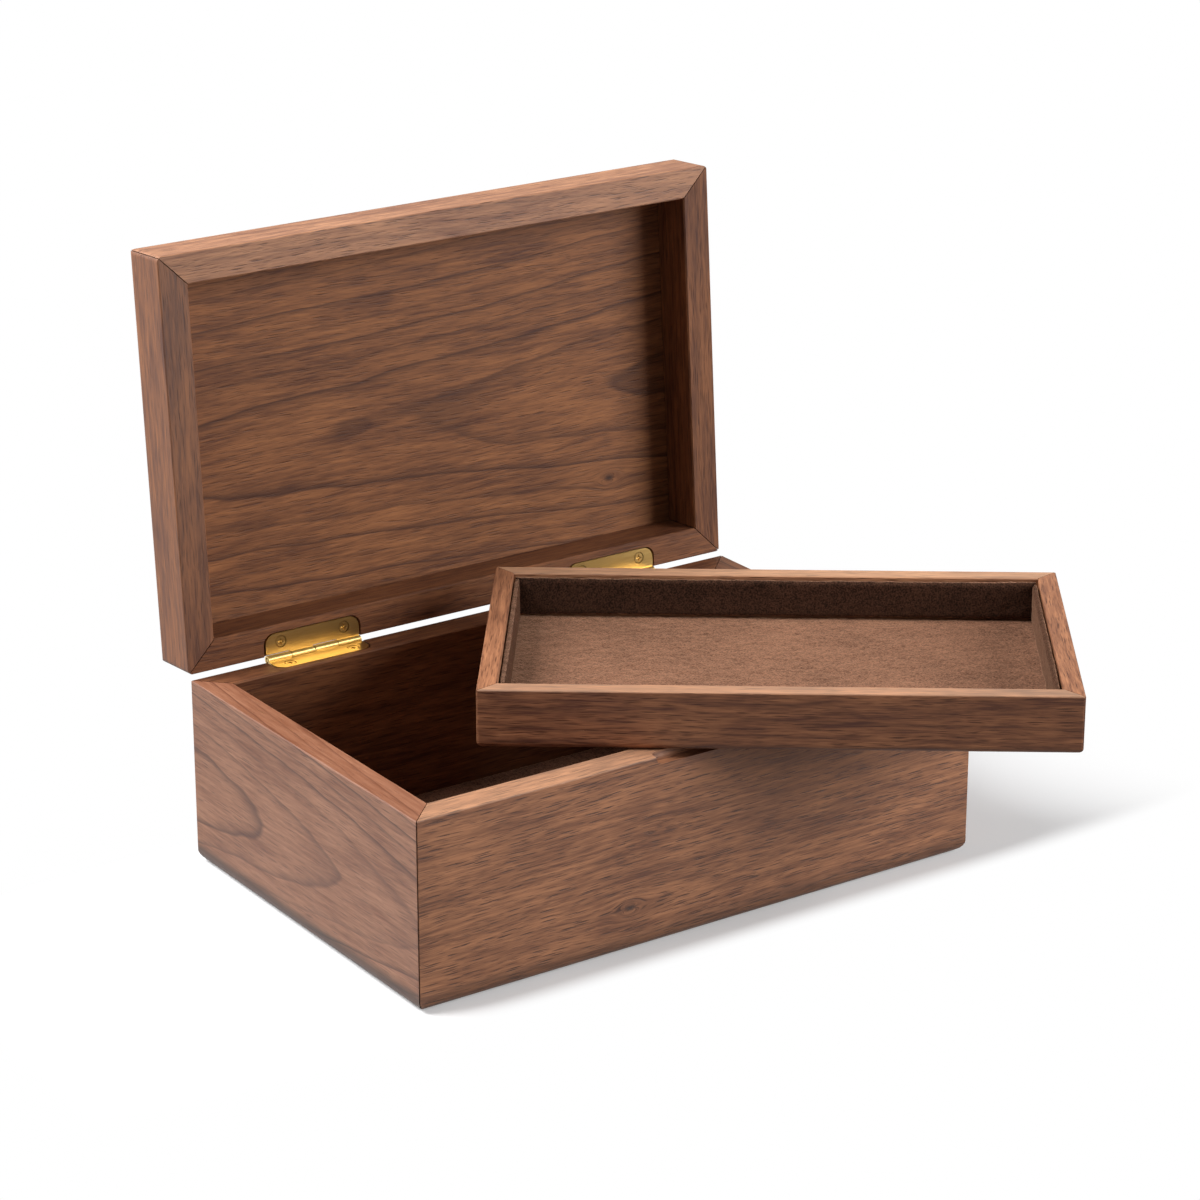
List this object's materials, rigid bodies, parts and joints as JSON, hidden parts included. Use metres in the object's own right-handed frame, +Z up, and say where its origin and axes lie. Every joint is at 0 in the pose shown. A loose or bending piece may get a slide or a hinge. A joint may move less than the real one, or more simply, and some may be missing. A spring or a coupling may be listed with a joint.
{
  "type": "keepsake box",
  "caption": "Walnut keepsake box with mitred walls, a recessed-panel lid standing open on brass butt hinges, a brown felt floor and a loose felt-lined tray laid across its rim.",
  "frame": {"origin": "middle of the underside of the base", "axes": "+X to the right along the front, +Y towards the hinges, +Z up"},
  "size_m": [0.2954, 0.2723, 0.2281],
  "materials": {
    "walnut": "oiled, satin",
    "brown_felt": "matt wool felt",
    "brass": "polished"
  },
  "bodies": {
    "base": {"base_front_wall": "walnut", "base_back_wall": "walnut", "base_left_wall": "walnut", "base_right_wall": "walnut", "base_bottom_panel": "walnut", "base_floor_lining": "brown_felt", "tray_rail_left": "walnut", "tray_rail_right": "walnut", "left_hinge_base_leaf": "brass", "left_hinge_base_screw_left": "brass", "left_hinge_base_screw_right": "brass", "left_hinge_pin": "brass", "right_hinge_base_leaf": "brass", "right_hinge_base_screw_left": "brass", "right_hinge_base_screw_right": "brass", "right_hinge_pin": "brass"},
    "lid": {"lid_front_wall": "walnut", "lid_back_wall": "walnut", "lid_left_wall": "walnut", "lid_right_wall": "walnut", "lid_panel": "walnut", "left_hinge_lid_leaf": "brass", "left_hinge_lid_screw_left": "brass", "left_hinge_lid_screw_right": "brass", "right_hinge_lid_leaf": "brass", "right_hinge_lid_screw_left": "brass", "right_hinge_lid_screw_right": "brass"},
    "tray": {"tray_front_wall": "walnut", "tray_back_wall": "walnut", "tray_left_wall": "walnut", "tray_right_wall": "walnut", "tray_bottom_panel": "walnut", "tray_floor_lining": "brown_felt", "tray_front_lining": "brown_felt", "tray_back_lining": "brown_felt", "tray_left_lining": "brown_felt", "tray_right_lining": "brown_felt"}
  },
  "joints": [
    {"name": "lid_hinge", "type": "hinge", "parent": "base", "child": "lid", "pos_m": [0, 0.07895, 0.07185], "axis": [1, 0, 0], "range_deg": [0, 79]},
    {"name": "tray_lift", "type": "slide", "parent": "base", "child": "tray", "axis": [0, 0, 1], "range_m": [0, 0.17]}
  ]
}
